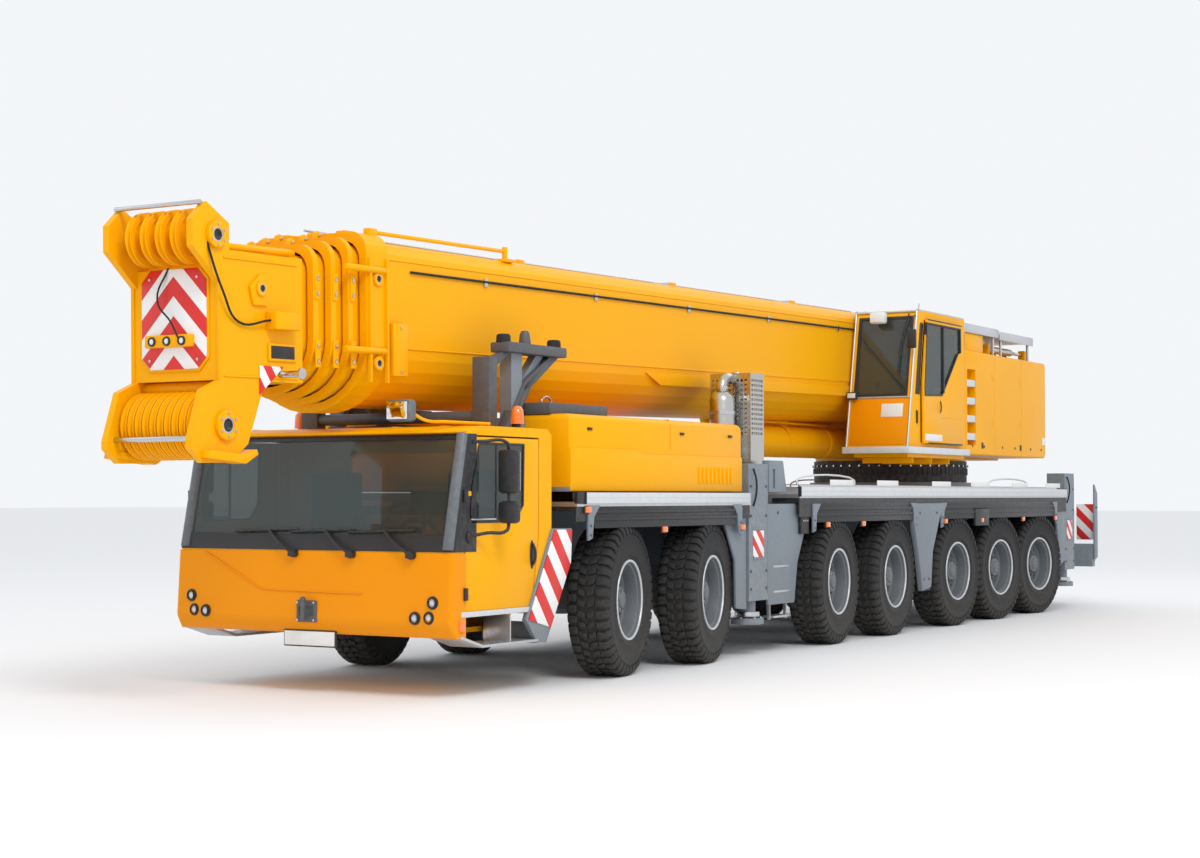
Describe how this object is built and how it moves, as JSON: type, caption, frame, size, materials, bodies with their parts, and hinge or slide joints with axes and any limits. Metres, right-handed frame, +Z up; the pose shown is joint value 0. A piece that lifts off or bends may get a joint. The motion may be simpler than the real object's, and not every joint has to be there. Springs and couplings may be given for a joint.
{
  "type": "seven-axle mobile crane with telescopic boom",
  "caption": "Seven-axle mobile crane: low full-width cab, steered wheels, slide-out outriggers, slewing upper with its own cab, luffing telescopic boom carried over the cab.",
  "frame": {"origin": "on the ground, at the middle of the whole machine in length and width", "axes": "+Z up, the front of the carrier faces -Y, the driver's left is +X"},
  "size_m": [3.46, 18.8917, 3.9756],
  "materials": {
    "yellow_paint": "gloss",
    "grey_paint": "satin",
    "tyre_rubber": "matte",
    "bright_steel": "polished",
    "stainless": "polished",
    "dark_steel": "satin",
    "aluminium": "satin",
    "black_plastic": "satin",
    "dark_plastic": "matte",
    "cast_iron": "matte"
  },
  "bodies": {
    "carrier": {"chassis_frame": "grey_paint", "axle_beams": "grey_paint", "deck": "aluminium", "mudguards": "black_plastic", "engine_cover": "yellow_paint", "engine_block": "cast_iron", "exhaust": "stainless", "carrier_cab": "yellow_paint", "cab_interior": "dark_plastic"},
    "left_door": {"left_door": "yellow_paint"},
    "right_door": {"right_door": "yellow_paint"},
    "superstructure": {"slewing_platform": "yellow_paint", "tail_housing": "yellow_paint", "crane_cab": "yellow_paint"},
    "winch": {"winch_drum": "dark_steel"},
    "crane_cab_door": {"crane_cab_door": "yellow_paint"},
    "luffing_barrel": {"luffing_barrel": "yellow_paint"},
    "luffing_rod": {"luffing_rod": "bright_steel"},
    "boom_base": {"boom_base": "yellow_paint"},
    "boom_section_1": {"boom_section_1": "yellow_paint"},
    "boom_section_2": {"boom_section_2": "yellow_paint"},
    "boom_section_3": {"boom_section_3": "yellow_paint"},
    "boom_head": {"boom_head": "yellow_paint", "head_sheaves": "yellow_paint"},
    "knuckle_left_1": {"knuckle_left_1": "grey_paint"},
    "wheel_left_1": {"wheel_left_1": "tyre_rubber"},
    "knuckle_right_1": {"knuckle_right_1": "grey_paint"},
    "wheel_right_1": {"wheel_right_1": "tyre_rubber"},
    "knuckle_left_2": {"knuckle_left_2": "grey_paint"},
    "wheel_left_2": {"wheel_left_2": "tyre_rubber"},
    "knuckle_right_2": {"knuckle_right_2": "grey_paint"},
    "wheel_right_2": {"wheel_right_2": "tyre_rubber"},
    "knuckle_left_3": {"knuckle_left_3": "grey_paint"},
    "wheel_left_3": {"wheel_left_3": "tyre_rubber"},
    "knuckle_right_3": {"knuckle_right_3": "grey_paint"},
    "wheel_right_3": {"wheel_right_3": "tyre_rubber"},
    "knuckle_left_4": {"knuckle_left_4": "grey_paint"},
    "wheel_left_4": {"wheel_left_4": "tyre_rubber"},
    "knuckle_right_4": {"knuckle_right_4": "grey_paint"},
    "wheel_right_4": {"wheel_right_4": "tyre_rubber"},
    "knuckle_left_5": {"knuckle_left_5": "grey_paint"},
    "wheel_left_5": {"wheel_left_5": "tyre_rubber"},
    "knuckle_right_5": {"knuckle_right_5": "grey_paint"},
    "wheel_right_5": {"wheel_right_5": "tyre_rubber"},
    "knuckle_left_6": {"knuckle_left_6": "grey_paint"},
    "wheel_left_6": {"wheel_left_6": "tyre_rubber"},
    "knuckle_right_6": {"knuckle_right_6": "grey_paint"},
    "wheel_right_6": {"wheel_right_6": "tyre_rubber"},
    "knuckle_left_7": {"knuckle_left_7": "grey_paint"},
    "wheel_left_7": {"wheel_left_7": "tyre_rubber"},
    "knuckle_right_7": {"knuckle_right_7": "grey_paint"},
    "wheel_right_7": {"wheel_right_7": "tyre_rubber"},
    "front_left_beam": {"front_left_beam": "grey_paint"},
    "front_left_jack": {"front_left_jack": "bright_steel"},
    "front_right_beam": {"front_right_beam": "grey_paint"},
    "front_right_jack": {"front_right_jack": "bright_steel"},
    "rear_left_beam": {"rear_left_beam": "grey_paint"},
    "rear_left_jack": {"rear_left_jack": "bright_steel"},
    "rear_right_beam": {"rear_right_beam": "grey_paint"},
    "rear_right_jack": {"rear_right_jack": "bright_steel"}
  },
  "joints": [
    {"name": "left_door_hinge", "type": "hinge", "parent": "carrier", "child": "left_door", "pos_m": [1.454, -7.36477, 1.4], "axis": [0, 0, -1], "range_deg": [0, 70]},
    {"name": "right_door_hinge", "type": "hinge", "parent": "carrier", "child": "right_door", "pos_m": [-1.454, -7.36477, 1.4], "axis": [0, 0, 1], "range_deg": [0, 70]},
    {"name": "steer_left_1", "type": "hinge", "parent": "carrier", "child": "knuckle_left_1", "pos_m": [1, -4.90477, 0.685], "axis": [0, 0, 1], "range_deg": [-41.4, 18.6]},
    {"name": "roll_left_1", "type": "hinge", "parent": "knuckle_left_1", "child": "wheel_left_1", "pos_m": [1.30388, -4.8435, 0.685], "axis": [0.9803, 0.1977, 0], "continuous": true},
    {"name": "steer_right_1", "type": "hinge", "parent": "carrier", "child": "knuckle_right_1", "pos_m": [-1, -4.90477, 0.685], "axis": [0, 0, 1], "range_deg": [-41.45, 18.65]},
    {"name": "roll_right_1", "type": "hinge", "parent": "knuckle_right_1", "child": "wheel_right_1", "pos_m": [-1.30388, -4.96605, 0.685], "axis": [0.9803, 0.1977, 0], "continuous": true},
    {"name": "steer_left_2", "type": "hinge", "parent": "carrier", "child": "knuckle_left_2", "pos_m": [1, -3.28477, 0.685], "axis": [0, 0, 1], "range_deg": [-40.21, 18.09]},
    {"name": "roll_left_2", "type": "hinge", "parent": "knuckle_left_2", "child": "wheel_left_2", "pos_m": [1.30424, -3.22532, 0.685], "axis": [0.9814, 0.1918, 0], "continuous": true},
    {"name": "steer_right_2", "type": "hinge", "parent": "carrier", "child": "knuckle_right_2", "pos_m": [-1, -3.28477, 0.685], "axis": [0, 0, 1], "range_deg": [-40.21, 18.09]},
    {"name": "roll_right_2", "type": "hinge", "parent": "knuckle_right_2", "child": "wheel_right_2", "pos_m": [-1.30424, -3.34423, 0.685], "axis": [0.9814, 0.1918, 0], "continuous": true},
    {"name": "steer_left_3", "type": "hinge", "parent": "carrier", "child": "knuckle_left_3", "pos_m": [1, -0.26477, 0.685], "axis": [0, 0, 1], "range_deg": [-18.27, 8.23]},
    {"name": "roll_left_3", "type": "hinge", "parent": "knuckle_left_3", "child": "wheel_left_3", "pos_m": [1.30881, -0.23767, 0.685], "axis": [0.9962, 0.0874, 0], "continuous": true},
    {"name": "steer_right_3", "type": "hinge", "parent": "carrier", "child": "knuckle_right_3", "pos_m": [-1, -0.26477, 0.685], "axis": [0, 0, 1], "range_deg": [-18.27, 8.23]},
    {"name": "roll_right_3", "type": "hinge", "parent": "knuckle_right_3", "child": "wheel_right_3", "pos_m": [-1.30881, -0.29188, 0.685], "axis": [0.9962, 0.0874, 0], "continuous": true},
    {"name": "steer_left_4", "type": "hinge", "parent": "carrier", "child": "knuckle_left_4", "pos_m": [1, 1.35522, 0.685], "axis": [0, 0, 1], "range_deg": [-9.16, 4.14]},
    {"name": "roll_left_4", "type": "hinge", "parent": "knuckle_left_4", "child": "wheel_left_4", "pos_m": [1.3097, 1.36879, 0.685], "axis": [0.999, 0.0438, 0], "continuous": true},
    {"name": "steer_right_4", "type": "hinge", "parent": "carrier", "child": "knuckle_right_4", "pos_m": [-1, 1.35522, 0.685], "axis": [0, 0, 1], "range_deg": [-9.16, 4.14]},
    {"name": "roll_right_4", "type": "hinge", "parent": "knuckle_right_4", "child": "wheel_right_4", "pos_m": [-1.3097, 1.34166, 0.685], "axis": [0.999, 0.0438, 0], "continuous": true},
    {"name": "steer_left_5", "type": "hinge", "parent": "carrier", "child": "knuckle_left_5", "pos_m": [1, 3.42523, 0.685], "axis": [0, 0, 1], "range_deg": [-4.89, 10.81]},
    {"name": "roll_left_5", "type": "hinge", "parent": "knuckle_left_5", "child": "wheel_left_5", "pos_m": [1.30958, 3.40919, 0.685], "axis": [0.9987, -0.0517, 0], "continuous": true},
    {"name": "steer_right_5", "type": "hinge", "parent": "carrier", "child": "knuckle_right_5", "pos_m": [-1, 3.42523, 0.685], "axis": [0, 0, 1], "range_deg": [-4.89, 10.81]},
    {"name": "roll_right_5", "type": "hinge", "parent": "knuckle_right_5", "child": "wheel_right_5", "pos_m": [-1.30958, 3.44125, 0.685], "axis": [0.9987, -0.0517, 0], "continuous": true},
    {"name": "steer_left_6", "type": "hinge", "parent": "carrier", "child": "knuckle_left_6", "pos_m": [1, 5.02522, 0.685], "axis": [0, 0, 1], "range_deg": [-8.98, 19.92]},
    {"name": "roll_left_6", "type": "hinge", "parent": "knuckle_left_6", "child": "wheel_left_6", "pos_m": [1.30859, 4.99566, 0.685], "axis": [0.9954, -0.0954, 0], "continuous": true},
    {"name": "steer_right_6", "type": "hinge", "parent": "carrier", "child": "knuckle_right_6", "pos_m": [-1, 5.02522, 0.685], "axis": [0, 0, 1], "range_deg": [-8.98, 19.92]},
    {"name": "roll_right_6", "type": "hinge", "parent": "knuckle_right_6", "child": "wheel_right_6", "pos_m": [-1.30859, 5.05479, 0.685], "axis": [0.9954, -0.0954, 0], "continuous": true},
    {"name": "steer_left_7", "type": "hinge", "parent": "carrier", "child": "knuckle_left_7", "pos_m": [1, 6.62523, 0.685], "axis": [0, 0, 1], "range_deg": [-13.44, 29.86]},
    {"name": "roll_left_7", "type": "hinge", "parent": "knuckle_left_7", "child": "wheel_left_7", "pos_m": [1.30682, 6.58097, 0.685], "axis": [0.9898, -0.1428, 0], "continuous": true},
    {"name": "steer_right_7", "type": "hinge", "parent": "carrier", "child": "knuckle_right_7", "pos_m": [-1, 6.62523, 0.685], "axis": [0, 0, 1], "range_deg": [-13.44, 29.86]},
    {"name": "roll_right_7", "type": "hinge", "parent": "knuckle_right_7", "child": "wheel_right_7", "pos_m": [-1.30682, 6.66948, 0.685], "axis": [0.9898, -0.1428, 0], "continuous": true},
    {"name": "front_left_beam_slide", "type": "slide", "parent": "carrier", "child": "front_left_beam", "axis": [1, 0, 0], "range_m": [0, 1.75]},
    {"name": "front_left_jack_slide", "type": "slide", "parent": "front_left_beam", "child": "front_left_jack", "axis": [0, 0, -1], "range_m": [0, 0.62]},
    {"name": "front_right_beam_slide", "type": "slide", "parent": "carrier", "child": "front_right_beam", "axis": [-1, 0, 0], "range_m": [0, 1.75]},
    {"name": "front_right_jack_slide", "type": "slide", "parent": "front_right_beam", "child": "front_right_jack", "axis": [0, 0, -1], "range_m": [0, 0.62]},
    {"name": "rear_left_beam_slide", "type": "slide", "parent": "carrier", "child": "rear_left_beam", "axis": [1, 0, 0], "range_m": [0, 1.75]},
    {"name": "rear_left_jack_slide", "type": "slide", "parent": "rear_left_beam", "child": "rear_left_jack", "axis": [0, 0, -1], "range_m": [0, 0.62]},
    {"name": "rear_right_beam_slide", "type": "slide", "parent": "carrier", "child": "rear_right_beam", "axis": [-1, 0, 0], "range_m": [0, 1.75]},
    {"name": "rear_right_jack_slide", "type": "slide", "parent": "rear_right_beam", "child": "rear_right_jack", "axis": [0, 0, -1], "range_m": [0, 0.62]},
    {"name": "slewing", "type": "hinge", "parent": "carrier", "child": "superstructure", "pos_m": [0, 4.79523, 1.8], "axis": [0, 0, 1], "continuous": true},
    {"name": "winch_turn", "type": "hinge", "parent": "superstructure", "child": "winch", "pos_m": [0, 6.74522, 2.53], "axis": [1, 0, 0], "continuous": true},
    {"name": "crane_door_slide", "type": "slide", "parent": "superstructure", "child": "crane_cab_door", "axis": [0, 1, 0], "range_m": [0, 0.62]},
    {"name": "boom_luff", "type": "hinge", "parent": "superstructure", "child": "boom_base", "pos_m": [0, 5.99522, 3.2], "axis": [-1, 0, 0], "range_deg": [0, 83]},
    {"name": "cylinder_swing", "type": "hinge", "parent": "superstructure", "child": "luffing_barrel", "pos_m": [0, 3.99523, 2.29], "axis": [-1, 0, 0], "range_deg": [-0.1, 93.3]},
    {"name": "cylinder_stroke", "type": "slide", "parent": "luffing_barrel", "child": "luffing_rod", "axis": [0, -1, -0.005], "range_m": [-0.001, 2.76151]},
    {"name": "telescope_1", "type": "slide", "parent": "boom_base", "child": "boom_section_1", "axis": [0, -0.9998, -0.0192], "range_m": [0, 11.2]},
    {"name": "telescope_2", "type": "slide", "parent": "boom_section_1", "child": "boom_section_2", "axis": [0, -0.9998, -0.0192], "range_m": [0, 11.2]},
    {"name": "telescope_3", "type": "slide", "parent": "boom_section_2", "child": "boom_section_3", "axis": [0, -0.9998, -0.0192], "range_m": [0, 11.2]},
    {"name": "telescope_4", "type": "slide", "parent": "boom_section_3", "child": "boom_head", "axis": [0, -0.9998, -0.0192], "range_m": [0, 11.2]}
  ],
  "couplings": [
    {"joint": "steer_right_1", "follows": "steer_left_1", "ratio": 1},
    {"joint": "steer_left_2", "follows": "steer_left_1", "ratio": 0.97},
    {"joint": "steer_right_2", "follows": "steer_left_1", "ratio": 0.97},
    {"joint": "steer_left_3", "follows": "steer_left_1", "ratio": 0.44},
    {"joint": "steer_right_3", "follows": "steer_left_1", "ratio": 0.44},
    {"joint": "steer_left_4", "follows": "steer_left_1", "ratio": 0.22},
    {"joint": "steer_right_4", "follows": "steer_left_1", "ratio": 0.22},
    {"joint": "steer_left_5", "follows": "steer_left_1", "ratio": -0.26},
    {"joint": "steer_right_5", "follows": "steer_left_1", "ratio": -0.26},
    {"joint": "steer_left_6", "follows": "steer_left_1", "ratio": -0.48},
    {"joint": "steer_right_6", "follows": "steer_left_1", "ratio": -0.48},
    {"joint": "steer_left_7", "follows": "steer_left_1", "ratio": -0.72},
    {"joint": "steer_right_7", "follows": "steer_left_1", "ratio": -0.72},
    {"joint": "cylinder_swing", "follows": "boom_luff", "ratio": 1.1228},
    {"joint": "cylinder_stroke", "follows": "boom_luff", "m_per_rad": 1.9056}
  ]
}
